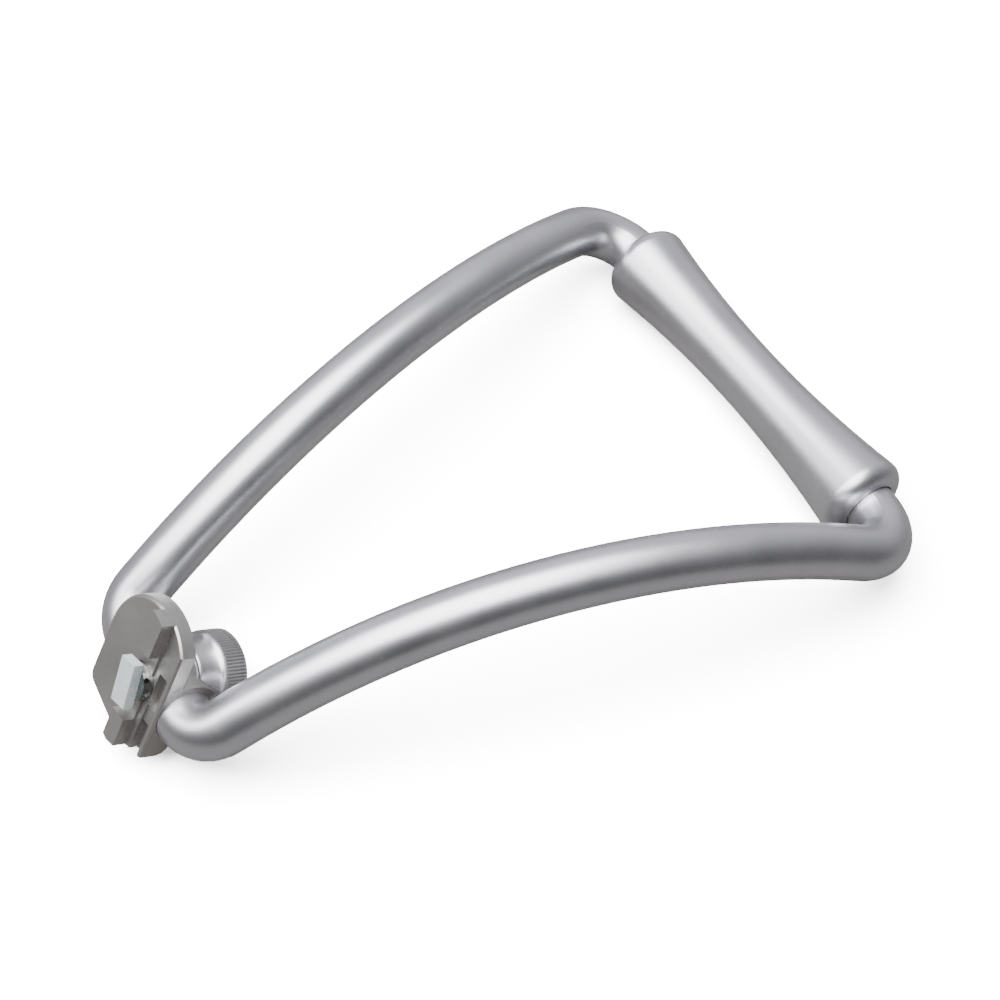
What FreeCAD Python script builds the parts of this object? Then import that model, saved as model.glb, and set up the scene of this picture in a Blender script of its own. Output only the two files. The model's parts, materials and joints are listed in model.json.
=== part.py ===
import FreeCAD, Part
import math
import os

import Sketcher

V = FreeCAD.Vector

os.makedirs("parts", exist_ok=True)
doc = FreeCAD.newDocument("arched_support")
sheet = doc.addObject("Spreadsheet::Sheet", "Sizes")

# Driving dimensions in millimetres and degrees: alias, value, meaning.
SIZES = [
    ("loop_length", 200.9, "tube axis at the hub to tube axis at the grip"),
    ("arch_turn", 53.3, "total turn of the arch, seen from the side"),
    ("hub_half_gap", 23.9, "leg corner from the mid plane at the hub"),
    ("grip_half_gap", 78.9, "leg corner from the mid plane at the grip"),
    ("leg_tilt", 7.8, "inward tilt of the plane in which a leg arches"),
    ("hub_bend", 10.6, "bend radius of the tube centreline beside the hub"),
    ("grip_bend", 14.7, "bend radius of the tube centreline beside the grip"),
    ("tube_outer", 8.0, "outer radius of the bent tube"),
    ("tube_wall", 1.6, "wall of the bent tube"),
    ("spigot_length", 2.4, "length of the hub's spigots inside the tubes"),
    ("spigot_gap", 0.03, "radial clearance of a spigot in its tube"),
    ("saddle_gap", 0.1, "gap between the tube and its saddle in the plate"),
    ("grip_setback", 20.6, "leg corner to the near end of the grip"),
    ("grip_end_wall", 6.05, "grip wall at its ends, before rounding"),
    ("grip_waist_wall", 2.8, "grip wall at mid length"),
    ("grip_end_round", 4.6, "edge rounding of the grip ends"),
    ("mouth_gap", 0.35, "radial clearance of the tube in the grip's mouth"),
    ("mouth_depth", 22.0, "depth of the wide bore at each grip end"),
    ("tube_entry", 14.0, "length of tube inside each end of the grip"),
    ("rod_gap", 0.03, "radial clearance of the cross rod in the tubes"),
    ("rod_engagement", 13.0, "length of cross rod inside each tube"),
    ("bush_length", 12.0, "length of a grip bush"),
    ("bush_wall", 0.78, "wall of a grip bush"),
    ("bush_gap", 0.05, "running clearance between grip and bushes"),
    ("seat_ridge_height", 3.3, "height of the guide ridge over the seat"),
    ("seat_ridge_width", 5.6, "width of the guide ridge"),
    ("seat_ridge_side", 0.8, "offset of the ridge centre from the screw axis"),
    ("ridge_gap", 10.6, "screw axis to each inner end of the ridge"),
    ("right_drop", 0.7, "drop of the right land below the seat"),
    ("plate_thick", 5.3, "thickness of the clamp plate at its rim"),
    ("plate_round", 16.9, "radius of the plate's round top"),
    ("plate_side", 2.6, "round top's centre, sideways from the screw axis"),
    ("plate_rise", 5.7, "round top's centre, above the screw axis"),
    ("plate_right", 10.9, "screw axis to the plate's cut right edge"),
    ("plate_foot", 20.2, "screw axis to the plate's lower edge at the ridge"),
    ("plate_foot_right", 18.3, "screw axis to the lower right corner"),
    ("plate_foot_left", 14.2, "screw axis to the lower left corner"),
    ("corner_round", 3.4, "rounding of the plate's lower left corner"),
    ("slot_inner", 5.6, "screw axis to the near wall of the side groove"),
    ("slot_outer", 9.3, "screw axis to the far wall of the side groove"),
    ("slot_shallow", 1.4, "depth of the side groove beside the screw"),
    ("slot_deep", 3.2, "depth of the side groove above and below the screw"),
    ("slot_middle", 4.2, "screw axis down to the groove's first step"),
    ("lip_chamfer", 0.5, "chamfer along the outer edge of the right land"),
    ("slot_top", 6.8, "screw axis to the upper end of the side groove"),
    ("slot_step", 9.0, "screw axis down to the groove's second step"),
    ("barrel_wall", 2.2, "wall of the barrel round the tube ends"),
    ("barrel_half", 13.4, "mid plane to an end of the barrel"),
    ("seat_wall", 1.4, "seat to the front of the tubes"),
    ("barrel_drop", 3.2, "tube axis below the screw axis"),
    ("barrel_side", 3.1, "mid plane to the screw axis"),
    ("rail_angle", 8.0, "turn of the rail direction about the screw axis"),
    ("screw_angle", 34.3, "screw axis below the loop's chord"),
    ("boss_radius", 9.2, "radius of the screw boss behind the plate"),
    ("boss_inset", 5.4, "back of the tubes to the back face of the screw boss"),
    ("stem_bore", 5.5, "radius of the bore for the nut's stem"),
    ("stem_clearance", 0.08, "radial clearance of the stem in its bore"),
    ("stem_bore_depth", 10.2, "depth of the stem bore behind the seat"),
    ("stud_radius", 2.5, "radius of the threaded stud"),
    ("stud_gap", 0.06, "radial clearance round the stud"),
    ("nut_length", 13.2, "length of the rail nut's bar"),
    ("nut_width", 6.1, "width of the rail nut's bar"),
    ("nut_thick", 3.0, "thickness of the rail nut's bar"),
    ("nut_stand", 2.3, "gap from the seat to the rail nut's bar"),
    ("nut_turn", 9.5, "rest turn of the rail nut from the rail direction"),
    ("nut_blind", 1.2, "metal left in front of the nut's thread"),
    ("stem_length", 6.0, "length of the nut's round stem"),
    ("seat_washer", 0.6, "thickness of the spring seat"),
    ("nut_travel", 1.6, "travel of the rail nut towards the seat"),
    ("washer_thick", 1.0, "thickness of the thrust washer"),
    ("washer_inset", 0.6, "neck's edge to the thrust washer's edge"),
    ("neck_front", 9.0, "neck radius at the thrust washer"),
    ("neck_rear", 10.9, "neck radius at the knurled head"),
    ("neck_length", 6.5, "length of the knob's flared neck"),
    ("head_radius", 11.8, "radius of the knurled head"),
    ("head_length", 8.0, "length of the knurled head"),
    ("head_chamfer", 0.6, "chamfer of the knurled head"),
    ("relief_gap", 0.35, "radial clearance of the knob in the hub's relief"),
    ("rim_round", 1.0, "rounding of the left land's rim"),
    ("cheek_top", 4.0, "screw axis to the upper edge of the side cheek"),
    ("cheek_inner", 3.0, "screw axis to the inner edge of the side cheek"),
    ("cheek_depth", 8.8, "back face of the side cheek behind the seat"),
    ("cheek_round", 3.3, "rounding of the side cheek's back edges"),
    ("spring_wire", 0.45, "wire radius of the nut spring"),
    ("spring_gap", 0.75, "radial clearance of the nut spring in the stem bore"),
    ("spring_slack", 0.65, "play left behind the nut spring when it is closed"),
    ("spring_pitch", 1.3, "pitch of the nut spring"),
    ("face_gap", 0.05, "gap between faces that slide on each other"),
]
for row, (alias, value, meaning) in enumerate(SIZES, start=1):
    sheet.set("A%d" % row, alias)
    sheet.set("B%d" % row, str(value))
    sheet.set("C%d" % row, meaning)
    sheet.setAlias("B%d" % row, alias)
doc.recompute()


def size(alias):
    """Value of a driving dimension, as a plain number."""
    return float(getattr(sheet, alias))


# ---------------------------------------------------------------- sizes that follow from others
TUBE_INNER = "(Sizes.tube_outer - Sizes.tube_wall)"
GRIP_MOUTH = "(Sizes.tube_outer + Sizes.mouth_gap)"
ROD = "(Sizes.tube_outer - Sizes.tube_wall - Sizes.rod_gap)"
BUSH_OUTER = "(" + ROD + " + Sizes.bush_wall)"
GRIP_BORE = "(" + BUSH_OUTER + " + Sizes.bush_gap)"
GRIP_HALF = "(Sizes.grip_half_gap - Sizes.grip_setback)"
GRIP_END = "(" + GRIP_MOUTH + " + Sizes.grip_end_wall)"
GRIP_WAIST = "(" + GRIP_BORE + " + Sizes.grip_waist_wall)"
BARREL_RADIUS = "(Sizes.tube_outer + Sizes.barrel_wall)"
TUBE_DEPTH = "(Sizes.seat_wall + Sizes.tube_outer)"
BOSS_DEPTH = "(" + TUBE_DEPTH + " + Sizes.tube_outer - Sizes.boss_inset)"


def tube_inner():
    """Inner radius of the bent tube."""
    return size("tube_outer") - size("tube_wall")


def grip_half():
    """Mid plane to an end of the grip."""
    return size("grip_half_gap") - size("grip_setback")


def grip_mouth():
    """Radius of the mouth where the tube enters the grip."""
    return size("tube_outer") + size("mouth_gap")


def grip_bore():
    """Bore radius of the grip between its bushes."""
    return tube_inner() - size("rod_gap") + size("bush_wall") + size("bush_gap")


def grip_end():
    """Grip radius at its ends, before rounding."""
    return grip_mouth() + size("grip_end_wall")


def grip_waist():
    """Grip radius at mid length."""
    return grip_bore() + size("grip_waist_wall")


def tube_depth():
    """Tube axis behind the seat."""
    return size("seat_wall") + size("tube_outer")


def boss_depth():
    """Back face of the screw boss behind the seat."""
    return tube_depth() + size("tube_outer") - size("boss_inset")


# ---------------------------------------------------------------- frames
SCREW = math.radians(size("screw_angle"))
KNOB_BACK = (
    boss_depth() + size("washer_thick") + 2 * size("face_gap")
    + size("neck_length") + size("head_length")
)


def pivot_in_hub():
    """Mid point of the tube axis at the hub, in the hub's own axes."""
    return V(size("barrel_side"), -size("barrel_drop"), tube_depth())


def grip_stand_radius():
    """Largest radius left on the grip once its end edges are rounded."""
    hollow = grip_end() - grip_waist()
    sweep = (grip_half() ** 2 + hollow ** 2) / (2 * hollow)
    along = grip_half() - size("grip_end_round")
    return grip_waist() + sweep - math.sqrt(sweep ** 2 - along ** 2)


def lean_to_stand():
    """Turn about Y that sets the knob and the grip level on a flat surface."""
    pivot = pivot_in_hub()
    rail = V(math.sin(SCREW), 0, math.cos(SCREW))
    axis = V(math.cos(SCREW), 0, -math.sin(SCREW))
    to_pivot = rail * pivot.y + axis * pivot.z
    knob_low = axis * (KNOB_BACK - size("head_chamfer")) - rail * size("head_radius")
    grip_x = to_pivot.x + size("loop_length") - knob_low.x
    grip_z = to_pivot.z - knob_low.z
    reach = math.hypot(grip_x, grip_z)
    return math.asin(grip_stand_radius() / reach) - math.atan2(grip_z, grip_x)


LEAN = lean_to_stand()
TO_WORLD = FreeCAD.Rotation(V(0, 1, 0), -math.degrees(LEAN))
# Hub axes: x to the left leg, y up the rail, z into the knob.
HUB_TURN = TO_WORLD.multiply(
    FreeCAD.Rotation(
        V(0, 1, 0),
        V(math.sin(SCREW), 0, math.cos(SCREW)),
        V(math.cos(SCREW), 0, -math.sin(SCREW)),
        "ZXY",
    )
)
HUB = FreeCAD.Placement(V(0, 0, 0), HUB_TURN)
CLAMP_TURN = HUB_TURN.multiply(FreeCAD.Rotation(V(0, 0, 1), -size("rail_angle")))
CLAMP = FreeCAD.Placement(V(0, 0, 0), CLAMP_TURN)
NUT_TURN = CLAMP_TURN.multiply(FreeCAD.Rotation(V(0, 0, 1), -size("nut_turn")))
NUT = FreeCAD.Placement(V(0, 0, 0), NUT_TURN)
LOOP = FreeCAD.Placement(HUB.multVec(pivot_in_hub()), TO_WORLD)
GRIP = LOOP.multiply(
    FreeCAD.Placement(V(size("loop_length"), 0, 0), FreeCAD.Rotation(V(1, 0, 0), -90))
)


# ---------------------------------------------------------------- helpers
def body(label, placement):
    """Empty body at its place in the assembly."""
    new = doc.addObject("PartDesign::Body", label)
    new.Label = label
    new.Placement = placement
    return new


def sketch(owner, name, role="XY_Plane", lift=None):
    """Sketch on one of the body's own origin planes."""
    new = owner.newObject("Sketcher::SketchObject", name)
    plane = [f for f in owner.Origin.OriginFeatures if f.Role == role][0]
    new.AttachmentSupport = [(plane, "")]
    new.MapMode = "FlatFace"
    if lift:
        new.setExpression("AttachmentOffset.Base.z", lift)
    return new


def fix_point(target, geometry, end, across, up, near=V(1, 1, 0)):
    """Bind one end of a line or arc, now near a point, to two expressions."""
    for kind, now, text in (("DistanceX", near.x, across), ("DistanceY", near.y, up)):
        index = target.addConstraint(
            Sketcher.Constraint(kind, -1, 1, geometry, end, now)
        )
        target.setExpression("Constraints[%d]" % index, text)


def polygon(target, corners):
    """Closed outline through corners given as pairs of expressions."""
    count = len(corners)
    for k in range(count):
        turn = 2 * math.pi * k / count
        ahead = 2 * math.pi * (k + 1) / count
        start = V(20 * math.cos(turn), 20 * math.sin(turn), 0)
        end = V(20 * math.cos(ahead), 20 * math.sin(ahead), 0)
        target.addGeometry(Part.LineSegment(start, end), False)
    for k in range(count):
        target.addConstraint(
            Sketcher.Constraint("Coincident", k, 2, (k + 1) % count, 1)
        )
    for k, (across, up) in enumerate(corners):
        fix_point(target, k, 1, across, up)
    return target


def turned(label, placement, corners):
    """Body turned about its own Z from a half section of (radius, height)."""
    new = body(label, placement)
    half = polygon(sketch(new, label + "_section", "XZ_Plane"), corners)
    lathe = new.newObject("PartDesign::Revolution", label + "_turned")
    lathe.Profile = half
    lathe.ReferenceAxis = (half, ["V_Axis"])
    lathe.Angle = 360
    new.Tip = lathe
    return new


def cut_pocket(owner, name, profile, depth):
    """Pocket cut from the profile towards +Z of the body."""
    cut = owner.newObject("PartDesign::Pocket", name)
    cut.Profile = profile
    cut.setExpression("Length", depth)
    cut.Reversed = True
    owner.Tip = cut
    return cut


def rectangle(target, left, right, bottom, top):
    """Rectangle between four expressions."""
    return polygon(
        target, [(left, bottom), (right, bottom), (right, top), (left, top)]
    )


def primitive(owner, kind, name, placement, **values):
    """Additive or subtractive primitive with its sizes bound to the sheet."""
    new = owner.newObject("PartDesign::" + kind, name)
    plane = [f for f in owner.Origin.OriginFeatures if f.Role == "XY_Plane"][0]
    new.AttachmentSupport = [(plane, "")]
    new.MapMode = "FlatFace"
    new.AttachmentOffset = placement
    for key, text in values.items():
        new.setExpression(key, text)
    owner.Tip = new
    return new


# ---------------------------------------------------------------- hub casting
def hub_casting():
    """Clamp plate with its ridge, barrel for the tubes and screw boss."""
    hub = body("hub_casting", CLAMP)
    outline = sketch(hub, "plate_outline", lift="-Sizes.seat_ridge_height")
    top = (size("plate_side"), size("plate_rise"), size("plate_round"))
    right = -size("plate_right")
    right_up = top[1] + math.sqrt(top[2] ** 2 - (right - top[0]) ** 2)
    left = top[0] + top[2]
    foot = -size("plate_foot")
    foot_left = -size("plate_foot_left")
    start_angle = 0.0
    end_angle = math.atan2(right_up - top[1], right - top[0])
    arc = Part.ArcOfCircle(
        Part.Circle(V(top[0], top[1], 0), V(0, 0, 1), top[2]), start_angle, end_angle
    )
    outline.addGeometry(arc, False)
    foot_right = -size("plate_foot_right")
    corners = [V(right, right_up), V(right, foot_right), V(0, foot), V(left, foot_left)]
    corners.append(V(left, top[1]))
    for here, there in zip(corners, corners[1:]):
        outline.addGeometry(Part.LineSegment(here, there), False)
    for k in range(5):
        ends = (k, 2, k + 1, 1) if k < 4 else (k, 2, 0, 1)
        outline.addConstraint(Sketcher.Constraint("Coincident", *ends))
    radius = outline.addConstraint(Sketcher.Constraint("Radius", 0, top[2]))
    outline.setExpression("Constraints[%d]" % radius, "Sizes.plate_round")
    fix_point(outline, 0, 3, "Sizes.plate_side", "Sizes.plate_rise")
    outline.addConstraint(Sketcher.Constraint("Horizontal", 0, 1, 0, 3))
    outline.addConstraint(Sketcher.Constraint("Vertical", 1))
    fix_point(outline, 2, 1, "-Sizes.plate_right", "-Sizes.plate_foot_right")
    fix_point(outline, 3, 1, "0", "-Sizes.plate_foot")
    fix_point(
        outline, 4, 1, "Sizes.plate_side + Sizes.plate_round", "-Sizes.plate_foot_left"
    )
    plate = hub.newObject("PartDesign::Pad", "plate")
    plate.Profile = outline
    plate.setExpression("Length", "Sizes.seat_ridge_height + Sizes.plate_thick")
    hub.Tip = plate
    doc.recompute()
    corner = hub.newObject("PartDesign::Fillet", "corner")
    edge = nearest_edge(plate.Shape, left, foot_left)
    corner.Base = (plate, [edge])
    corner.setExpression("Radius", "Sizes.corner_round")
    hub.Tip = corner
    doc.recompute()
    cheek_area = sketch(hub, "cheek_area", lift="Sizes.slot_deep + 0.5")
    rectangle(
        cheek_area, "-Sizes.plate_right", "-Sizes.cheek_inner",
        "-Sizes.plate_foot_right", "-Sizes.cheek_top",
    )
    cheek = hub.newObject("PartDesign::Pad", "cheek")
    cheek.Profile = cheek_area
    cheek.setExpression("Length", "Sizes.cheek_depth - Sizes.slot_deep - 0.5")
    hub.Tip = cheek
    doc.recompute()
    low_back = hub.newObject("PartDesign::Fillet", "cheek_edge")
    low_back.Base = (cheek, edges_at(cheek.Shape, foot_right, size("cheek_depth")))
    low_back.setExpression("Radius", "Sizes.cheek_round")
    hub.Tip = low_back
    doc.recompute()
    turn = FreeCAD.Rotation(V(0, 0, 1), size("rail_angle"))
    across = turn.multVec(V(1, 0, 0))
    centre = turn.multVec(pivot_in_hub())
    lie = FreeCAD.Rotation(V(0, 0, 1), across)
    ends = across * size("barrel_half")
    primitive(
        hub, "AdditiveCylinder", "barrel", FreeCAD.Placement(centre - ends, lie),
        Radius=BARREL_RADIUS, Height="2 * Sizes.barrel_half",
    )
    upright = FreeCAD.Rotation()
    primitive(
        hub, "AdditiveCylinder", "boss", FreeCAD.Placement(V(0, 0, 1), upright),
        Radius="Sizes.boss_radius", Height=BOSS_DEPTH + " - 1",
    )
    clear_of_plate = "2 * Sizes.plate_round"
    ridge_left = "Sizes.seat_ridge_width / 2 - Sizes.seat_ridge_side"
    ridge_right = "-Sizes.seat_ridge_width / 2 - Sizes.seat_ridge_side"
    lands = [
        ("left_land", ridge_left, clear_of_plate, "Sizes.seat_ridge_height"),
        ("right_land", "-" + clear_of_plate, ridge_right,
         "Sizes.seat_ridge_height + Sizes.right_drop"),
    ]
    for name, low, high, depth in lands:
        shape = sketch(hub, name + "_area", lift="-Sizes.seat_ridge_height")
        rectangle(shape, low, high, "-" + clear_of_plate, clear_of_plate)
        cut_pocket(hub, name, shape, depth)
    doc.recompute()
    rim = hub.newObject("PartDesign::Fillet", "land_rim")
    rim.Base = (hub.getObject("right_land"), land_rim(hub.getObject("right_land").Shape))
    rim.setExpression("Radius", "Sizes.rim_round")
    hub.Tip = rim
    doc.recompute()
    lip = hub.newObject("PartDesign::Chamfer", "lip_edge")
    lip.Base = (rim, lip_edges(rim.Shape))
    lip.setExpression("Size", "Sizes.lip_chamfer")
    hub.Tip = lip
    gap = sketch(hub, "ridge_gap_area", lift="-Sizes.seat_ridge_height")
    rectangle(gap, "-Sizes.slot_inner", ridge_left, "-Sizes.ridge_gap", "Sizes.ridge_gap")
    cut_pocket(hub, "ridge_gap", gap, "Sizes.seat_ridge_height")
    grooves = [
        ("groove_upper", "-Sizes.slot_middle", "Sizes.slot_top", "Sizes.slot_deep"),
        ("groove_middle", "-Sizes.slot_step", "-Sizes.slot_middle", "Sizes.slot_shallow"),
        ("groove_lower", "-" + clear_of_plate, "-Sizes.slot_step", "Sizes.slot_deep"),
    ]
    for name, low, high, depth in grooves:
        shape = sketch(hub, name + "_area")
        rectangle(shape, "-Sizes.slot_outer", "-Sizes.slot_inner", low, high)
        cut_pocket(hub, name, shape, depth)
    for side, name in ((-1, "right"), (1, "left")):
        flank = centre + ends * side
        out = FreeCAD.Rotation(V(0, 0, 1), across * side)
        primitive(
            hub, "SubtractiveCylinder", name + "_saddle", FreeCAD.Placement(flank, out),
            Radius="Sizes.tube_outer + Sizes.saddle_gap",
            Height="2 * Sizes.barrel_half",
        )
        root = centre + ends * side - across * side
        primitive(
            hub, "AdditiveCylinder", name + "_spigot", FreeCAD.Placement(root, out),
            Radius=TUBE_INNER + " - Sizes.spigot_gap",
            Height="1 + Sizes.spigot_length",
        )
    behind = V(0, 0, boss_depth())
    primitive(
        hub, "SubtractiveCone", "neck_relief", FreeCAD.Placement(behind, upright),
        Radius1="Sizes.neck_front + Sizes.relief_gap",
        Radius2="Sizes.neck_rear + Sizes.relief_gap",
        Height="Sizes.washer_thick + Sizes.neck_length",
    )
    under_head = behind + V(0, 0, size("washer_thick") + size("neck_length") - 0.3)
    primitive(
        hub, "SubtractiveCylinder", "head_relief", FreeCAD.Placement(under_head, upright),
        Radius="Sizes.head_radius + Sizes.relief_gap", Height="2 * " + BARREL_RADIUS,
    )
    front = V(0, 0, -size("seat_ridge_height") - 1)
    primitive(
        hub, "SubtractiveCylinder", "stem_bore", FreeCAD.Placement(front, upright),
        Radius="Sizes.stem_bore",
        Height="Sizes.stem_bore_depth + Sizes.seat_ridge_height + 1",
    )
    primitive(
        hub, "SubtractiveCylinder", "stud_bore", FreeCAD.Placement(front, upright),
        Radius="Sizes.stud_radius + Sizes.stud_gap",
        Height=BOSS_DEPTH + " + Sizes.seat_ridge_height + 2",
    )
    doc.recompute()
    return hub


def edges_at(shape, up, deep):
    """Names of the edges that lie wholly at one height of the outline and one depth."""
    names = []
    for number, edge in enumerate(shape.Edges, start=1):
        ends = [v.Point for v in edge.Vertexes]
        if all(abs(p.y - up) < 0.01 and abs(p.z - deep) < 0.01 for p in ends):
            names.append("Edge%d" % number)
    return names


def land_rim(shape):
    """Names of the outer edges of the left land, round its top and its left side."""
    names = []
    for number, edge in enumerate(shape.Edges, start=1):
        ends = [v.Point for v in edge.Vertexes]
        middle = edge.valueAt((edge.FirstParameter + edge.LastParameter) / 2)
        flat = all(abs(p.z) < 0.01 for p in ends + [middle])
        rim = size("plate_round") - size("rim_round")
        off = math.hypot(middle.x - size("plate_side"), middle.y - size("plate_rise"))
        outside = off > rim and middle.x > size("plate_side")
        if flat and outside and middle.y > -size("plate_foot_left"):
            names.append("Edge%d" % number)
    return names


def lip_edges(shape):
    """Names of the outer edges of the right land, round its top and its cut side."""
    names = []
    for number, edge in enumerate(shape.Edges, start=1):
        ends = [v.Point for v in edge.Vertexes]
        flat = all(abs(p.z - size("right_drop")) < 0.01 for p in ends)
        middle = edge.valueAt((edge.FirstParameter + edge.LastParameter) / 2)
        off = math.hypot(middle.x - size("plate_side"), middle.y - size("plate_rise"))
        on_side = abs(middle.x + size("plate_right")) < 0.01
        on_round = middle.y > 0 and abs(off - size("plate_round")) < 0.01
        if flat and (on_side or on_round):
            names.append("Edge%d" % number)
    return names


def nearest_edge(shape, across, up):
    """Name of the upright edge that stands nearest to a point of the outline."""
    best = None
    for number, edge in enumerate(shape.Edges, start=1):
        if len(edge.Vertexes) < 2 or abs(edge.tangentAt(edge.FirstParameter).z) < 0.99:
            continue
        middle = edge.CenterOfMass
        gap = math.hypot(middle.x - across, middle.y - up)
        if best is None or gap < best[0]:
            best = (gap, "Edge%d" % number)
    return best[1]


# ---------------------------------------------------------------- bent tubes
def corner_tangent(before, corner, after, radius):
    """Distance from a corner of the path to the ends of its bend."""
    first = (before - corner).normalize()
    second = (after - corner).normalize()
    return radius / math.tan(math.acos(first.dot(second)) / 2)


def leg_corners():
    """Corners of the left leg's path: hub end, hub, apex, grip, grip end."""
    far = size("loop_length")
    hub_gap = size("hub_half_gap")
    grip_gap = size("grip_half_gap")
    spread = math.atan2(grip_gap - hub_gap, far)
    turn = math.radians(size("arch_turn"))
    hub_reach = size("hub_bend") * math.tan((math.pi / 2 - spread) / 2)
    grip_reach = size("grip_bend") * math.tan((math.pi / 2 + spread) / 2)
    uneven = (grip_reach - hub_reach) * math.cos(spread) * math.sin(turn / 2) / far
    rise = turn / 2 + math.asin(uneven)
    slope = far * math.sin(turn - rise) / math.sin(turn)
    along = slope * math.cos(rise)
    height = slope * math.sin(rise)
    inward = height * math.tan(math.radians(size("leg_tilt")))
    return [
        V(0, size("barrel_half"), 0),
        V(0, hub_gap, 0),
        V(along, hub_gap + (grip_gap - hub_gap) * along / far - inward, height),
        V(far, grip_gap, 0),
        V(far, grip_half() - size("tube_entry"), 0),
    ]


def bend(before, corner, after, tangent):
    """Arc that rounds a corner of the path, given its tangent length."""
    first = (before - corner).normalize()
    second = (after - corner).normalize()
    half = math.acos(first.dot(second)) / 2
    radius = tangent * math.tan(half)
    inward = (first + second).normalize()
    middle = corner + inward * (radius / math.sin(half) - radius)
    return Part.Arc(corner + first * tangent, middle, corner + second * tangent)


def tube_path():
    """Edges of the left tube's centreline: straights and bends in turn."""
    hub_end, hub, apex, grip, grip_end = leg_corners()
    hub_tangent = corner_tangent(hub_end, hub, apex, size("hub_bend"))
    grip_tangent = corner_tangent(apex, grip, grip_end, size("grip_bend"))
    arch_tangent = min(
        hub.distanceToPoint(apex) - hub_tangent,
        grip.distanceToPoint(apex) - grip_tangent,
    )
    arcs = [
        bend(hub_end, hub, apex, hub_tangent),
        bend(hub, apex, grip, arch_tangent),
        bend(apex, grip, grip_end, grip_tangent),
    ]
    edges = []
    here = hub_end
    for arc in [a.toShape() for a in arcs]:
        start = arc.valueAt(arc.FirstParameter)
        if here.distanceToPoint(start) > 0.001:
            edges.append(Part.LineSegment(here, start).toShape())
        edges.append(arc)
        here = arc.valueAt(arc.LastParameter)
    edges.append(Part.LineSegment(here, grip_end).toShape())
    return edges


def tube_piece(edge):
    """Hollow tube along one straight or round edge of the path."""
    start = edge.valueAt(edge.FirstParameter)
    ahead = edge.tangentAt(edge.FirstParameter)
    outside = Part.Wire(Part.makeCircle(size("tube_outer"), start, ahead))
    inside = Part.Wire(Part.makeCircle(tube_inner(), start, ahead))
    section = Part.makeFace([outside, inside], "Part::FaceMakerBullseye")
    if edge.Curve.TypeId == "Part::GeomLine":
        return section.extrude(ahead * edge.Length)
    angle = math.degrees(edge.LastParameter - edge.FirstParameter)
    return section.revolve(edge.Curve.Center, edge.Curve.Axis, angle)


def bent_tube():
    """The left leg of the loop: a bent tube with a plain bore."""
    pieces = [tube_piece(edge) for edge in tube_path()]
    whole = pieces[0].multiFuse(pieces[1:])
    if len(whole.Solids) != 1:
        raise RuntimeError("the bent tube is not one solid")
    return whole.Solids[0]


def loop_tubes():
    """Both legs: the left tube and its mirror image in the mid plane."""
    left = bent_tube()
    right = left.mirror(V(0, 0, 0), V(0, 1, 0))
    for label, shape in (("left_tube", left), ("right_tube", right)):
        new = doc.addObject("Part::Feature", label)
        new.Label = label
        new.Shape = shape
        new.Placement = LOOP


# ---------------------------------------------------------------- grip
def grip_sleeve():
    """Spool grip: concave outside, bored for its bushes and the tube ends."""
    grip = body("grip_sleeve", GRIP)
    half = sketch(grip, "grip_section", "XZ_Plane")
    length = grip_half()
    rim = grip_end()
    waist = grip_waist()
    mouth = grip_mouth()
    bore = grip_bore()
    shoulder = length - size("mouth_depth")
    hollow = rim - waist
    sweep = (length ** 2 + hollow ** 2) / (2 * hollow)
    middle = V(waist + sweep, 0, 0)
    turn = math.asin(length / sweep)
    concave = Part.ArcOfCircle(
        Part.Circle(middle, V(0, 0, 1), sweep), math.pi - turn, math.pi + turn
    )
    half.addGeometry(concave, False)
    corners = [V(rim, -length), V(mouth, -length), V(mouth, -shoulder)]
    corners += [V(bore, -shoulder), V(bore, shoulder), V(mouth, shoulder)]
    corners += [V(mouth, length), V(rim, length)]
    for here, there in zip(corners, corners[1:]):
        half.addGeometry(Part.LineSegment(here, there), False)
    last = len(corners) - 1
    for k in range(last + 1):
        ends = (k, 2, k + 1, 1) if k < last else (k, 2, 0, 1)
        half.addConstraint(Sketcher.Constraint("Coincident", *ends))
    names = {
        rim: GRIP_END,
        mouth: GRIP_MOUTH,
        bore: GRIP_BORE,
        length: GRIP_HALF,
        -length: "-" + GRIP_HALF,
        shoulder: GRIP_HALF + " - Sizes.mouth_depth",
        -shoulder: "Sizes.mouth_depth - " + GRIP_HALF,
    }
    for k, point in enumerate(corners[:-1]):
        fix_point(half, k + 1, 1, names[point.x], names[point.y], point)
    fix_point(half, last, 2, names[rim], names[length], corners[-1])
    curve = half.addConstraint(Sketcher.Constraint("Radius", 0, sweep))
    rise = "(" + GRIP_END + " - " + GRIP_WAIST + ")"
    half.setExpression(
        "Constraints[%d]" % curve,
        "(" + GRIP_HALF + " ^ 2 + " + rise + " ^ 2) / (2 * " + rise + ")",
    )
    lathe = grip.newObject("PartDesign::Revolution", "grip_turned")
    lathe.Profile = half
    lathe.ReferenceAxis = (half, ["V_Axis"])
    lathe.Angle = 360
    grip.Tip = lathe
    doc.recompute()
    rims = []
    for number, edge in enumerate(lathe.Shape.Edges, start=1):
        if edge.Curve.TypeId == "Part::GeomCircle" and abs(edge.Curve.Radius - rim) < 0.01:
            rims.append("Edge%d" % number)
    rounded = grip.newObject("PartDesign::Fillet", "grip_rims")
    rounded.Base = (lathe, rims)
    rounded.setExpression("Radius", "Sizes.grip_end_round")
    grip.Tip = rounded
    doc.recompute()
    return grip


def cross_rod():
    """Rod that joins the two tubes inside the grip."""
    half = "(" + GRIP_HALF + " - Sizes.tube_entry + Sizes.rod_engagement)"
    return turned(
        "cross_rod", GRIP,
        [("0", "-" + half), (ROD, "-" + half),
         (ROD, half), ("0", half)],
    )


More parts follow.
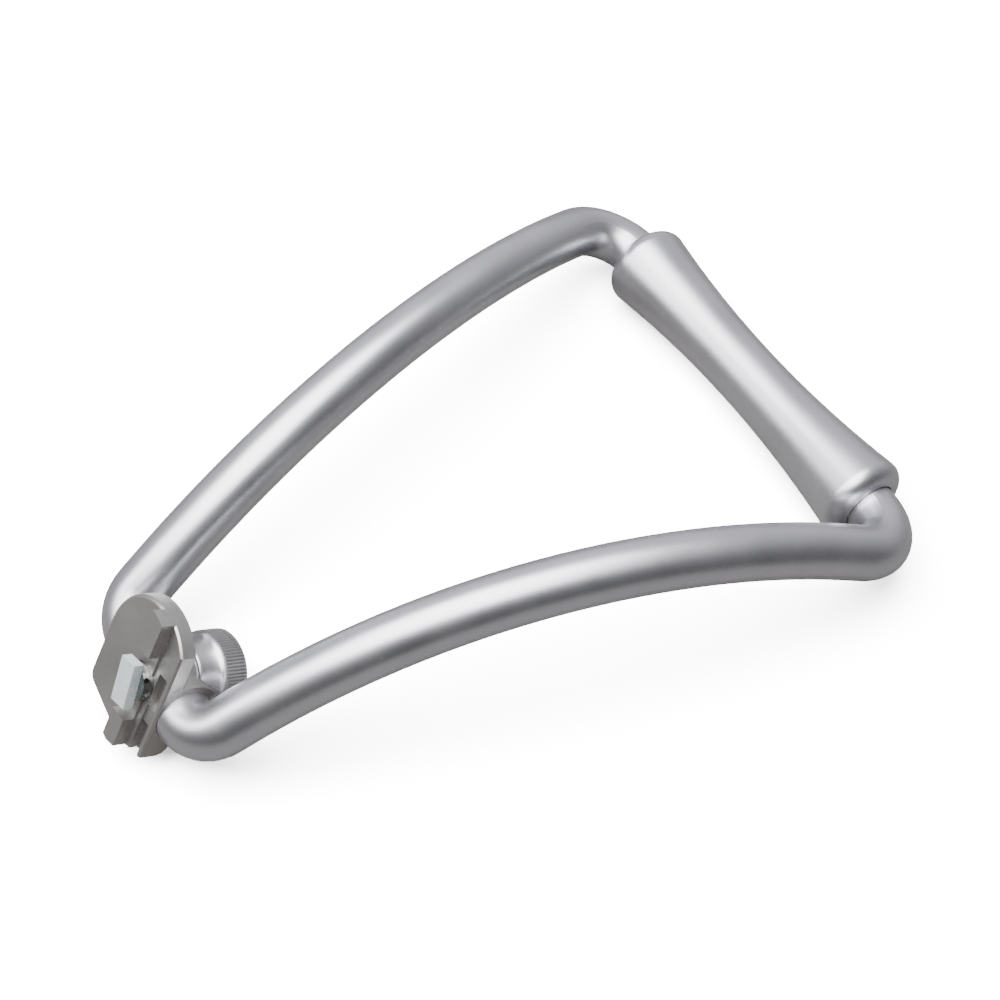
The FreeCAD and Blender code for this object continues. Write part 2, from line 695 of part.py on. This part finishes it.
def grip_bush(label, side):
    """Plain bush on the cross rod, between the tube end and the grip."""
    new = body(label, GRIP)
    half = sketch(new, label + "_section", "XZ_Plane")
    sign = "" if side > 0 else "-"
    outer_end = sign + "(" + GRIP_HALF + " - Sizes.mouth_depth - Sizes.face_gap)"
    inner_end = (
        sign + "(" + GRIP_HALF + " - Sizes.mouth_depth - Sizes.face_gap"
        " - Sizes.bush_length)"
    )
    polygon(
        half,
        [(ROD, inner_end),
         (BUSH_OUTER, inner_end),
         (BUSH_OUTER, outer_end),
         (ROD, outer_end)],
    )
    lathe = new.newObject("PartDesign::Revolution", label + "_turned")
    lathe.Profile = half
    lathe.ReferenceAxis = (half, ["V_Axis"])
    lathe.Angle = 360
    new.Tip = lathe
    return new


# ---------------------------------------------------------------- clamp screw
def rail_nut():
    """Bar that locks in the rail, with the round stem that carries the thread."""
    nut = body("rail_nut", NUT)
    bar = sketch(nut, "bar_outline", lift="-Sizes.nut_stand - Sizes.nut_thick")
    rectangle(
        bar, "-Sizes.nut_width / 2", "Sizes.nut_width / 2",
        "-Sizes.nut_length / 2", "Sizes.nut_length / 2",
    )
    pad = nut.newObject("PartDesign::Pad", "bar")
    pad.Profile = bar
    pad.setExpression("Length", "Sizes.nut_thick")
    nut.Tip = pad
    upright = FreeCAD.Rotation()
    back = V(0, 0, -size("nut_stand"))
    primitive(
        nut, "AdditiveCylinder", "stem", FreeCAD.Placement(back, upright),
        Radius="Sizes.stem_bore - Sizes.stem_clearance", Height="Sizes.stem_length",
    )
    floor = V(0, 0, -size("nut_stand") - size("nut_thick") + size("nut_blind"))
    primitive(
        nut, "SubtractiveCylinder", "thread", FreeCAD.Placement(floor, upright),
        Radius="Sizes.stud_radius + Sizes.stud_gap",
        Height="Sizes.nut_thick + Sizes.stem_length",
    )
    return nut


def ring(label, placement, inner, outer, low, high):
    """Turned ring between two radii and two heights."""
    return turned(
        label, placement, [(inner, low), (outer, low), (outer, high), (inner, high)]
    )


STUD_BORE = "Sizes.stud_radius + Sizes.stud_gap"
STEM_OUTER = "Sizes.stem_bore - Sizes.stem_clearance"
STEM_BACK = "Sizes.stem_length - Sizes.nut_stand"
SPRING_FRONT = STEM_BACK + " + Sizes.seat_washer + 2 * Sizes.face_gap"
WASHER_FRONT = BOSS_DEPTH + " + Sizes.face_gap"
NECK_FRONT = BOSS_DEPTH + " + Sizes.washer_thick + 2 * Sizes.face_gap"


def knob():
    """Hand knob: flared neck and a chamfered head, bored for the stud."""
    head_front = "(" + NECK_FRONT + " + Sizes.neck_length)"
    head_back = "(" + NECK_FRONT + " + Sizes.neck_length + Sizes.head_length)"
    corners = [
        ("Sizes.stud_radius", NECK_FRONT),
        ("Sizes.neck_front", NECK_FRONT),
        ("Sizes.neck_rear", head_front),
        ("Sizes.head_radius - Sizes.head_chamfer", head_front),
        ("Sizes.head_radius", head_front + " + Sizes.head_chamfer"),
        ("Sizes.head_radius", head_back + " - Sizes.head_chamfer"),
        ("Sizes.head_radius - Sizes.head_chamfer", head_back),
        ("Sizes.stud_radius", head_back),
    ]
    return turned("knob", HUB, corners)


def clamp_stud():
    """Threaded stud fixed in the knob, reaching into the nut's stem."""
    front = "Sizes.nut_blind - Sizes.nut_stand - Sizes.nut_thick + Sizes.nut_travel + 0.6"
    back = NECK_FRONT + " + Sizes.neck_length + Sizes.head_length"
    return turned(
        "clamp_stud", HUB,
        [("0", front), ("Sizes.stud_radius", front),
         ("Sizes.stud_radius", back), ("0", back)],
    )


def nut_spring():
    """Coil spring behind the spring seat, drawn as short as it gets."""
    spring = body("nut_spring", HUB)
    wire = sketch(spring, "wire_section", "XZ_Plane")
    radius = "Sizes.stem_bore - Sizes.spring_wire - Sizes.spring_gap"
    start = V(size("stem_bore") - size("spring_wire") - size("spring_gap"), 8, 0)
    wire.addGeometry(
        Part.Circle(start, V(0, 0, 1), size("spring_wire")), False
    )
    fix_point(wire, 0, 3, radius, SPRING_FRONT + " + Sizes.spring_wire", start)
    thick = wire.addConstraint(Sketcher.Constraint("Radius", 0, size("spring_wire")))
    wire.setExpression("Constraints[%d]" % thick, "Sizes.spring_wire")
    coil = spring.newObject("PartDesign::AdditiveHelix", "coil")
    coil.Profile = wire
    coil.ReferenceAxis = (wire, ["V_Axis"])
    coil.Mode = 0
    coil.setExpression("Pitch", "Sizes.spring_pitch")
    coil.setExpression(
        "Height",
        "Sizes.stem_bore_depth - (" + SPRING_FRONT + ") - Sizes.nut_travel"
        " - 2 * Sizes.spring_wire - Sizes.spring_slack",
    )
    spring.Tip = coil
    return spring


hub_casting()
loop_tubes()
grip_sleeve()
cross_rod()
grip_bush("left_bush", 1)
grip_bush("right_bush", -1)
rail_nut()
ring(
    "spring_seat", HUB, STUD_BORE, STEM_OUTER,
    STEM_BACK + " + Sizes.face_gap", STEM_BACK + " + Sizes.face_gap + Sizes.seat_washer",
)
ring("thrust_washer", HUB, STUD_BORE, "Sizes.neck_front - Sizes.washer_inset",
     WASHER_FRONT, WASHER_FRONT + " + Sizes.washer_thick")
knob()
clamp_stud()
nut_spring()
doc.recompute()

NODES = [
    "hub_casting", "left_tube", "right_tube", "cross_rod", "left_bush", "right_bush",
    "grip_sleeve", "rail_nut", "spring_seat", "thrust_washer", "knob", "clamp_stud",
    "nut_spring",
]
for item in doc.Objects:
    if "Invalid" in item.State or "Error" in item.State:
        raise RuntimeError(item.Label + " failed: " + item.getStatusString())
for label in NODES:
    part = doc.getObjectsByLabel(label)[0]
    if part.Shape.isNull() or not part.Shape.isValid():
        raise RuntimeError(label + " has no valid shape")
    print("%-16s %9.1f mm3" % (label, part.Shape.Volume))
for label in NODES:
    doc.getObjectsByLabel(label)[0].Shape.exportStep("parts/%s.step" % label)
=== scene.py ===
import json
import math

import bmesh
import bpy
from mathutils import Matrix, Vector


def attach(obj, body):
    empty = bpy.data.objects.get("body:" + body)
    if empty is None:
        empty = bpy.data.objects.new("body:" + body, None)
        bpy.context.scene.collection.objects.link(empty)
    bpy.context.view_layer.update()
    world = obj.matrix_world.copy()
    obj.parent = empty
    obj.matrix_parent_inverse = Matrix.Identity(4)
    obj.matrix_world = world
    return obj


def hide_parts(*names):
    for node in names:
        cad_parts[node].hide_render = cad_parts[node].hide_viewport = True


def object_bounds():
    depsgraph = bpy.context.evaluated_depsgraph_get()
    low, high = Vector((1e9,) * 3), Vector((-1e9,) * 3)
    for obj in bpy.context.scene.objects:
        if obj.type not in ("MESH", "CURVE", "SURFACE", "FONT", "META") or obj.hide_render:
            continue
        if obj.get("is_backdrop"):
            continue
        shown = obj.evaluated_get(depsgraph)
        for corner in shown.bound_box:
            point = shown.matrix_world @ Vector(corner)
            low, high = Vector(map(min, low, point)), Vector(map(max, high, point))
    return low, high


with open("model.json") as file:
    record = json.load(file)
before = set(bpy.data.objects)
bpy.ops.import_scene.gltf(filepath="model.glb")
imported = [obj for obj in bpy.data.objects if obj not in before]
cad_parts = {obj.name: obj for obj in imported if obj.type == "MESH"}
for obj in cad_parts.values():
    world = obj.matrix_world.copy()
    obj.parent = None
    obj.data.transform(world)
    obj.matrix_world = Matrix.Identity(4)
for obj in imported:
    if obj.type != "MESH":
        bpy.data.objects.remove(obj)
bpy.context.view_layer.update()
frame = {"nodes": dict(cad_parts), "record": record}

# ------------------------------------------------------------ places and sizes, in metres
JOINTS = {joint["name"]: joint for joint in frame["record"]["behaviour"]["joints"]}
SCREW_AXIS = Vector(JOINTS["nut_slide"]["axis"]).normalized()
HEAD_RADIUS = 0.0118
HEAD_LENGTH = 0.0080
NECK_FRONT = 0.0131
NECK_LENGTH = 0.0065
NECK_RADIUS = 0.0090
NECK_REAR = 0.0109
STUD_RADIUS = 0.0025
RIDGE_COUNT = 78
RIDGE_HEIGHT = 0.00032
RIDGE_WIDTH = 0.00074
EDGE_ROUND = 0.0004
NECK_EDGE = 0.0003
DISH_RADIUS = 0.0062
DISH_DEPTH = 0.0006
KNOB_STEPS = 160
STEM_START = -0.00235
FLOOR_WIDTH = 12.0
FLOOR_DROP = 0.0002
LENS_LENGTH = 62.34
SENSOR_WIDTH = 36.0


def screw_frame():
    """Turn that takes +Z to the clamp screw's axis, with +Y up the plate."""
    across = Vector((0, 1, 0))
    return Matrix((across, SCREW_AXIS.cross(across), SCREW_AXIS)).transposed().to_4x4()


# ------------------------------------------------------------ material helpers
def add(tree, kind, **inputs):
    """Node of a kind, with plain values put on its named inputs."""
    node = tree.nodes.new(kind)
    for name, value in inputs.items():
        node.inputs[name.replace("_", " ")].default_value = value
    return node


def math_node(tree, operation, first, second=None):
    """Math node fed by links or by numbers."""
    node = tree.nodes.new("ShaderNodeMath")
    node.operation = operation
    for index, value in enumerate((first, second)):
        if value is None:
            continue
        if isinstance(value, (int, float)):
            node.inputs[index].default_value = value
        else:
            tree.links.new(value, node.inputs[index])
    return node.outputs[0]


def noise(tree, vector, scale, detail=2.0, roughness=0.5):
    node = add(tree, "ShaderNodeTexNoise", Scale=scale, Detail=detail, Roughness=roughness)
    tree.links.new(vector, node.inputs["Vector"])
    return node.outputs["Fac"]


def ramp(tree, fac, stops):
    """Colour ramp with stops of (position, colour)."""
    node = tree.nodes.new("ShaderNodeValToRGB")
    while len(node.color_ramp.elements) < len(stops):
        node.color_ramp.elements.new(0.5)
    for element, (position, colour) in zip(node.color_ramp.elements, stops):
        element.position = position
        element.color = (*colour, 1)
    tree.links.new(fac, node.inputs["Fac"])
    return node.outputs["Color"]


def spread(tree, fac, low, high):
    """Fac carried from 0..1 to low..high."""
    return math_node(tree, "ADD", math_node(tree, "MULTIPLY", fac, high - low), low)


def bump(tree, height, distance, strength=1.0, under=None):
    node = add(tree, "ShaderNodeBump", Strength=strength, Distance=distance)
    tree.links.new(height, node.inputs["Height"])
    if under is not None:
        tree.links.new(under, node.inputs["Normal"])
    return node.outputs["Normal"]


def new_material(name, metallic):
    material = bpy.data.materials.new(name)
    material.use_nodes = True
    tree = material.node_tree
    shader = tree.nodes["Principled BSDF"]
    shader.inputs["Metallic"].default_value = metallic
    place = tree.nodes.new("ShaderNodeTexCoord").outputs["Object"]
    return material, tree, shader, place


def blasted_metal(name, light, dark, rough, grain, grain_depth, pits=0.0):
    """Bead-blasted aluminium: a fine even grain, faint clouding and a few tiny pits."""
    material, tree, shader, place = new_material(name, 1.0)
    cloud = noise(tree, place, 55.0, 3.0)
    fine = noise(tree, place, grain, 2.0, 0.6)
    tint = math_node(tree, "ADD", math_node(tree, "MULTIPLY", cloud, 0.7),
                     math_node(tree, "MULTIPLY", fine, 0.3))
    tree.links.new(ramp(tree, tint, [(0.3, dark), (0.7, light)]), shader.inputs["Base Color"])
    tree.links.new(spread(tree, cloud, rough - 0.05, rough + 0.05), shader.inputs["Roughness"])
    normal = bump(tree, fine, grain_depth)
    if pits:
        cells = add(tree, "ShaderNodeTexVoronoi", Scale=210.0, Randomness=1.0)
        tree.links.new(place, cells.inputs["Vector"])
        rare = math_node(tree, "GREATER_THAN", noise(tree, place, 190.0, 0.0), 0.66)
        hole = math_node(tree, "LESS_THAN", cells.outputs["Distance"], 0.09)
        dent = math_node(tree, "MULTIPLY", hole, rare)
        normal = bump(tree, math_node(tree, "SUBTRACT", 1.0, dent), pits, 1.0, normal)
    tree.links.new(normal, shader.inputs["Normal"])
    return material


def turned_metal(name, light, dark, rough, ring_scale, ring_depth):
    """Metal turned about the clamp screw: fine rings from the tool."""
    material, tree, shader, place = new_material(name, 1.0)
    along = tree.nodes.new("ShaderNodeVectorMath")
    along.operation = "DOT_PRODUCT"
    tree.links.new(place, along.inputs[0])
    along.inputs[1].default_value = SCREW_AXIS
    rings = tree.nodes.new("ShaderNodeTexNoise")
    rings.noise_dimensions = "1D"
    rings.inputs["Scale"].default_value = ring_scale
    rings.inputs["Detail"].default_value = 3.0
    tree.links.new(along.outputs["Value"], rings.inputs["W"])
    cloud = noise(tree, place, 140.0, 2.0)
    mixed = math_node(tree, "ADD", math_node(tree, "MULTIPLY", cloud, 0.5),
                      math_node(tree, "MULTIPLY", rings.outputs["Fac"], 0.5))
    tree.links.new(ramp(tree, mixed, [(0.35, dark), (0.65, light)]),
                   shader.inputs["Base Color"])
    tree.links.new(spread(tree, mixed, rough - 0.06, rough + 0.06), shader.inputs["Roughness"])
    tree.links.new(bump(tree, rings.outputs["Fac"], ring_depth), shader.inputs["Normal"])
    return material


def zinc_plate(name, shaded_stem_from=None):
    """Pale zinc plating with a fine crystal pattern; past a given depth along the screw axis the
    stem gets a real polish (fully metallic, lower roughness) and a darker colour that is painted
    shade down in the bore.
    """
    material, tree, shader, place = new_material(name, 0.45)
    crystals = add(tree, "ShaderNodeTexVoronoi", Scale=1500.0)
    tree.links.new(place, crystals.inputs["Vector"])
    cloud = noise(tree, place, 260.0, 3.0)
    mixed = math_node(tree, "ADD", math_node(tree, "MULTIPLY", cloud, 0.8),
                      math_node(tree, "MULTIPLY", crystals.outputs["Distance"], 0.3))
    colour = ramp(tree, mixed, [(0.3, (0.70, 0.80, 0.81)), (0.75, (0.84, 0.92, 0.93))])
    rough = spread(tree, cloud, 0.22, 0.34)
    if shaded_stem_from is not None:
        along = tree.nodes.new("ShaderNodeVectorMath")
        along.operation = "DOT_PRODUCT"
        tree.links.new(place, along.inputs[0])
        along.inputs[1].default_value = SCREW_AXIS
        # Stem mask: it carries the stem's real polish and the painted shade of the bore it sits
        # in.
        stem_polish_and_shade = math_node(tree, "GREATER_THAN", along.outputs["Value"], shaded_stem_from)
        tree.links.new(spread(tree, stem_polish_and_shade, 0.45, 1.0), shader.inputs["Metallic"])
        rough = math_node(tree, "MULTIPLY", rough, spread(tree, stem_polish_and_shade, 1.0, 0.3))
        # Past the stem start the colour drops to a dark grey: painted shade of the stem down in
        # the bore, not the plating's own colour.
        blend = tree.nodes.new("ShaderNodeMix")
        blend.data_type = "RGBA"
        tree.links.new(stem_polish_and_shade, blend.inputs[0])
        tree.links.new(colour, blend.inputs[6])
        tree.links.new(ramp(tree, mixed, [(0.3, (0.20, 0.21, 0.21)), (0.75, (0.42, 0.44, 0.44))]),
                       blend.inputs[7])
        colour = blend.outputs[2]
    tree.links.new(colour, shader.inputs["Base Color"])
    tree.links.new(rough, shader.inputs["Roughness"])
    tree.links.new(bump(tree, mixed, 0.000012), shader.inputs["Normal"])
    return material


def moulded_plastic(name, light, dark, rough):
    """Moulded plastic: faint clouding and a fine matt skin."""
    material, tree, shader, place = new_material(name, 0.0)
    cloud = noise(tree, place, 120.0, 3.0)
    tree.links.new(ramp(tree, cloud, [(0.3, dark), (0.7, light)]), shader.inputs["Base Color"])
    tree.links.new(spread(tree, cloud, rough - 0.06, rough + 0.06), shader.inputs["Roughness"])
    skin = noise(tree, place, 2600.0, 1.0)
    tree.links.new(bump(tree, skin, 0.00001), shader.inputs["Normal"])
    return material


def backdrop_material():
    """Floor that is over-white to the camera's own rays and a dim grey to every other ray."""
    material = bpy.data.materials.new("pale_floor")
    material.use_nodes = True
    tree = material.node_tree
    tree.nodes.remove(tree.nodes["Principled BSDF"])
    matt = tree.nodes.new("ShaderNodeBsdfDiffuse")
    sight = tree.nodes.new("ShaderNodeLightPath").outputs["Is Camera Ray"]
    shade = ramp(tree, sight, [(0.0, (0.16, 0.155, 0.15)), (1.0, (1.0, 1.0, 1.0))])
    boost = tree.nodes.new("ShaderNodeVectorMath")
    boost.operation = "SCALE"
    tree.links.new(shade, boost.inputs[0])
    tree.links.new(spread(tree, sight, 1.0, 7.0), boost.inputs["Scale"])
    tree.links.new(boost.outputs["Vector"], matt.inputs["Color"])
    tree.links.new(matt.outputs["BSDF"], tree.nodes["Material Output"].inputs["Surface"])
    return material


ANODISED = blasted_metal(
    "satin_anodised", (0.66, 0.66, 0.70), (0.58, 0.58, 0.62), 0.36, 2600.0, 0.000018, 0.00012
)
CASTING = blasted_metal(
    "blasted_casting", (0.47, 0.46, 0.45), (0.40, 0.39, 0.38), 0.46, 2000.0, 0.00003
)
ZINC = zinc_plate("zinc_plate")
NUT_ZINC = zinc_plate("nut_zinc_plate", STEM_START)
KNURL = turned_metal(
    "knurled_aluminium", (0.56, 0.56, 0.57), (0.47, 0.47, 0.48), 0.40, 2200.0, 0.00001
)
NECK = turned_metal(
    "polished_neck", (0.62, 0.62, 0.64), (0.54, 0.54, 0.56), 0.32, 3000.0, 0.000006
)
STEEL = turned_metal(
    "turned_steel", (0.50, 0.50, 0.51), (0.42, 0.42, 0.43), 0.30, 1800.0, 0.00001
)
ACETAL = moulded_plastic("natural_acetal", (0.80, 0.79, 0.75), (0.74, 0.73, 0.69), 0.5)

NODE_FINISH = {
    "hub_casting": CASTING,
    "left_tube": ANODISED,
    "right_tube": ANODISED,
    "grip_sleeve": ANODISED,
    "cross_rod": ANODISED,
    "left_bush": ACETAL,
    "right_bush": ACETAL,
    "rail_nut": NUT_ZINC,
    "spring_seat": STEEL,
    "nut_spring": STEEL,
    "thrust_washer": ZINC,
    "clamp_stud": STEEL,
    "knob": KNURL,
}
for label, finish in NODE_FINISH.items():
    node = frame["nodes"][label]
    if not node.material_slots:
        node.data.materials.append(finish)
    for material_slot in node.material_slots:
        material_slot.material = finish


# ------------------------------------------------------------ knurled knob
def lathed(name, outline, steps, finish):
    """Closed shape turned about +Z from an outline of (radius, height)."""
    mesh = bpy.data.meshes.new(name)
    shape = bmesh.new()
    rings = []
    for k in range(steps):
        turn = 2 * math.pi * k / steps
        rings.append([
            shape.verts.new((r * math.cos(turn), r * math.sin(turn), z)) for r, z in outline
        ])
    count = len(outline)
    for k in range(steps):
        here, there = rings[k], rings[(k + 1) % steps]
        for i in range(count):
            j = (i + 1) % count
            shape.faces.new((here[i], there[i], there[j], here[j]))
    bmesh.ops.recalc_face_normals(shape, faces=shape.faces)
    for face in shape.faces:
        face.smooth = True
    shape.to_mesh(mesh)
    shape.free()
    mesh.materials.append(finish)
    made = bpy.data.objects.new(name, mesh)
    bpy.context.scene.collection.objects.link(made)
    return made


def rounded(corners, radius, steps=4):
    """Closed outline with its corners rounded, unless a corner is marked sharp."""
    result = []
    for i, (r, z, soft) in enumerate(corners):
        here = Vector((r, z))
        if not soft:
            result.append((r, z))
            continue
        before = Vector(corners[i - 1][:2]) - here
        after = Vector(corners[(i + 1) % len(corners)][:2]) - here
        reach = min(radius, before.length * 0.45, after.length * 0.45)
        start = here + before.normalized() * reach
        end = here + after.normalized() * reach
        for k in range(steps + 1):
            t = k / steps
            point = start * (1 - t) ** 2 + here * 2 * t * (1 - t) + end * t ** 2
            result.append((point.x, point.y))
    return result


def knob_outline():
    """Half section of the knob: a hollow flared neck and a chamfered head."""
    core = HEAD_RADIUS - RIDGE_HEIGHT
    front = NECK_FRONT + NECK_LENGTH
    back = front + HEAD_LENGTH
    neck = []
    for k in range(9):
        t = k / 8
        flare = (NECK_REAR - NECK_RADIUS) * (0.75 * t + 0.25 * t ** 4)
        height = NECK_FRONT + NECK_EDGE + (NECK_LENGTH - 2 * NECK_EDGE) * t
        neck.append((NECK_RADIUS + flare, height, False))
    corners = [(STUD_RADIUS, NECK_FRONT, False), (NECK_RADIUS - NECK_EDGE, NECK_FRONT, False)]
    corners += neck
    corners += [
        (HEAD_RADIUS - 0.0006, front, True),
        (core, front + 0.0005, True),
        (core, back - 0.0005, True),
        (HEAD_RADIUS - 0.0008, back, True),
        (DISH_RADIUS, back, True),
        (DISH_RADIUS - 0.0004, back - DISH_DEPTH, True),
        (STUD_RADIUS, back - DISH_DEPTH, False),
    ]
    return rounded(corners, EDGE_ROUND)


def ridge_tree():
    """Geometry Nodes tree: straight ridges spaced evenly round the knob's head."""
    tree = bpy.data.node_groups.new("knurl_ridges", "GeometryNodeTree")
    face = tree.interface
    face.new_socket("Geometry", in_out="INPUT", socket_type="NodeSocketGeometry")
    for name, kind in (
        ("Ridge Count", "NodeSocketInt"), ("Circle Radius", "NodeSocketFloat"),
        ("Ridge Width", "NodeSocketFloat"), ("Ridge Length", "NodeSocketFloat"),
        ("Ridge Height", "NodeSocketFloat"), ("Head Front", "NodeSocketFloat"),
        ("Finish", "NodeSocketMaterial"),
    ):
        face.new_socket(name, in_out="INPUT", socket_type=kind)
    face.new_socket("Geometry", in_out="OUTPUT", socket_type="NodeSocketGeometry")
    nodes, links = tree.nodes, tree.links
    given = nodes.new("NodeGroupInput")
    result = nodes.new("NodeGroupOutput")
    circle = nodes.new("GeometryNodeMeshCircle")
    links.new(given.outputs["Ridge Count"], circle.inputs["Vertices"])
    links.new(given.outputs["Circle Radius"], circle.inputs["Radius"])
    place = nodes.new("GeometryNodeInputPosition")
    facing = nodes.new("FunctionNodeAlignRotationToVector")
    facing.axis = "X"
    facing.pivot_axis = "Z"
    links.new(place.outputs["Position"], facing.inputs["Vector"])
    bar = nodes.new("GeometryNodeMeshCone")
    bar.fill_type = "NGON"
    bar.inputs["Vertices"].default_value = 6
    bar.inputs["Side Segments"].default_value = 1
    links.new(given.outputs["Ridge Width"], bar.inputs["Radius Top"])
    links.new(given.outputs["Ridge Width"], bar.inputs["Radius Bottom"])
    links.new(given.outputs["Ridge Length"], bar.inputs["Depth"])
    scale = nodes.new("ShaderNodeCombineXYZ")
    links.new(given.outputs["Ridge Height"], scale.inputs["X"])
    scale.inputs["Y"].default_value = 0.5
    scale.inputs["Z"].default_value = 1.0
    spots = nodes.new("GeometryNodeInstanceOnPoints")
    links.new(circle.outputs["Mesh"], spots.inputs["Points"])
    links.new(bar.outputs["Mesh"], spots.inputs["Instance"])
    links.new(facing.outputs["Rotation"], spots.inputs["Rotation"])
    links.new(scale.outputs["Vector"], spots.inputs["Scale"])
    lift = nodes.new("ShaderNodeCombineXYZ")
    links.new(given.outputs["Head Front"], lift.inputs["Z"])
    moved = nodes.new("GeometryNodeTransform")
    links.new(spots.outputs["Instances"], moved.inputs["Geometry"])
    links.new(lift.outputs["Vector"], moved.inputs["Translation"])
    real = nodes.new("GeometryNodeRealizeInstances")
    links.new(moved.outputs["Geometry"], real.inputs["Geometry"])
    painted = nodes.new("GeometryNodeSetMaterial")
    links.new(real.outputs["Geometry"], painted.inputs["Geometry"])
    links.new(given.outputs["Finish"], painted.inputs["Material"])
    links.new(painted.outputs["Geometry"], result.inputs["Geometry"])
    return tree


def knurl_ridges():
    """The ridges as one plain mesh, still standing on +Z."""
    mesh = bpy.data.meshes.new("ridge_seed")
    seed = bpy.data.objects.new("ridge_seed", mesh)
    bpy.context.scene.collection.objects.link(seed)
    modifier = seed.modifiers.new("ridges", "NODES")
    tree = ridge_tree()
    modifier.node_group = tree
    sizes = {
        "Ridge Count": RIDGE_COUNT,
        "Circle Radius": HEAD_RADIUS - RIDGE_HEIGHT,
        "Ridge Width": RIDGE_WIDTH,
        "Ridge Length": HEAD_LENGTH - 0.0014,
        "Ridge Height": RIDGE_HEIGHT / RIDGE_WIDTH,
        "Head Front": NECK_FRONT + NECK_LENGTH + 0.0007,
        "Finish": KNURL,
    }
    for item in tree.interface.items_tree:
        if item.item_type == "SOCKET" and item.in_out == "INPUT" and item.name in sizes:
            modifier[item.identifier] = sizes[item.name]
    bpy.context.view_layer.update()
    graph = bpy.context.evaluated_depsgraph_get()
    plain = bpy.data.meshes.new_from_object(seed.evaluated_get(graph))
    bpy.data.objects.remove(seed)
    made = bpy.data.objects.new("knob_ridges", plain)
    bpy.context.scene.collection.objects.link(made)
    return made


def knob_pieces():
    """The turned knob and its ridges, stood on the screw's axis and riding on the knob."""
    turn = screw_frame()
    body = lathed("knob_body", knob_outline(), KNOB_STEPS, NECK)
    body.data.materials.append(KNURL)
    limit = NECK_FRONT + NECK_LENGTH + 0.0002
    for face in body.data.polygons:
        if face.center.z > limit:
            face.material_index = 1
    ridges = knurl_ridges()
    for piece in (body, ridges):
        piece.data.transform(turn)
        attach(piece, "knob")
    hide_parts("knob")


knob_pieces()


# ------------------------------------------------------------ floor, light and camera
def floor():
    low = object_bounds()[0].z
    bpy.ops.mesh.primitive_plane_add(size=FLOOR_WIDTH, location=(0.1, 0.0, low - FLOOR_DROP))
    plane = bpy.context.object
    plane.name = "floor"
    plane.data.materials.append(backdrop_material())
    plane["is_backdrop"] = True


def soft_light(name, place, aim, size, power):
    light = bpy.data.lights.new(name, "AREA")
    light.shape = "RECTANGLE"
    light.size, light.size_y = size
    light.energy = power
    lamp = bpy.data.objects.new(name, light)
    lamp.location = place
    lamp.rotation_euler = (Vector(aim) - Vector(place)).to_track_quat("-Z", "Y").to_euler()
    bpy.context.scene.collection.objects.link(lamp)


def studio():
    """Sky that is dark towards the viewer and pale behind, with two soft lights above."""
    world = bpy.data.worlds.new("studio")
    bpy.context.scene.world = world
    world.use_nodes = True
    tree = world.node_tree
    sky = tree.nodes["Background"]
    place = tree.nodes.new("ShaderNodeTexCoord").outputs["Generated"]
    away = tree.nodes.new("ShaderNodeVectorMath")
    away.operation = "DOT_PRODUCT"
    tree.links.new(place, away.inputs[0])
    away.inputs[1].default_value = (0.53, 0.85, 0.0)
    shade = ramp(tree, spread(tree, away.outputs["Value"], 0.5, 1.0), [
        (0.0, (0.07, 0.07, 0.07)), (0.4, (0.14, 0.14, 0.145)), (0.7, (0.45, 0.45, 0.48)),
        (1.0, (0.95, 0.95, 1.0)),
    ])
    tree.links.new(shade, sky.inputs["Color"])
    sight = tree.nodes.new("ShaderNodeLightPath").outputs["Is Camera Ray"]
    tree.links.new(spread(tree, sight, 1.0, 14.0), sky.inputs["Strength"])
    middle = (0.1, 0.0, 0.0)
    soft_light("overhead", (0.02, 0.05, 0.80), middle, (0.85, 0.75), 20.0)
    soft_light("upper_left", (-0.55, 0.35, 0.70), middle, (0.4, 0.5), 5.0)


def camera():
    lens = bpy.data.cameras.new("camera")
    lens.lens = LENS_LENGTH
    lens.sensor_width = SENSOR_WIDTH
    lens.clip_start, lens.clip_end = 0.01, 10.0
    view = bpy.data.objects.new("camera", lens)
    right = Vector((0.845077, -0.534641, -0.001909))
    up = Vector((0.439035, 0.691911, 0.573156))
    back = Vector((-0.305112, -0.485199, 0.819444))
    turn = Matrix((right, up, back)).transposed().to_4x4()
    view.matrix_world = Matrix.Translation((-0.038533, -0.242148, 0.405646)) @ turn
    bpy.context.scene.collection.objects.link(view)
    bpy.context.scene.camera = view


floor()
studio()
camera()
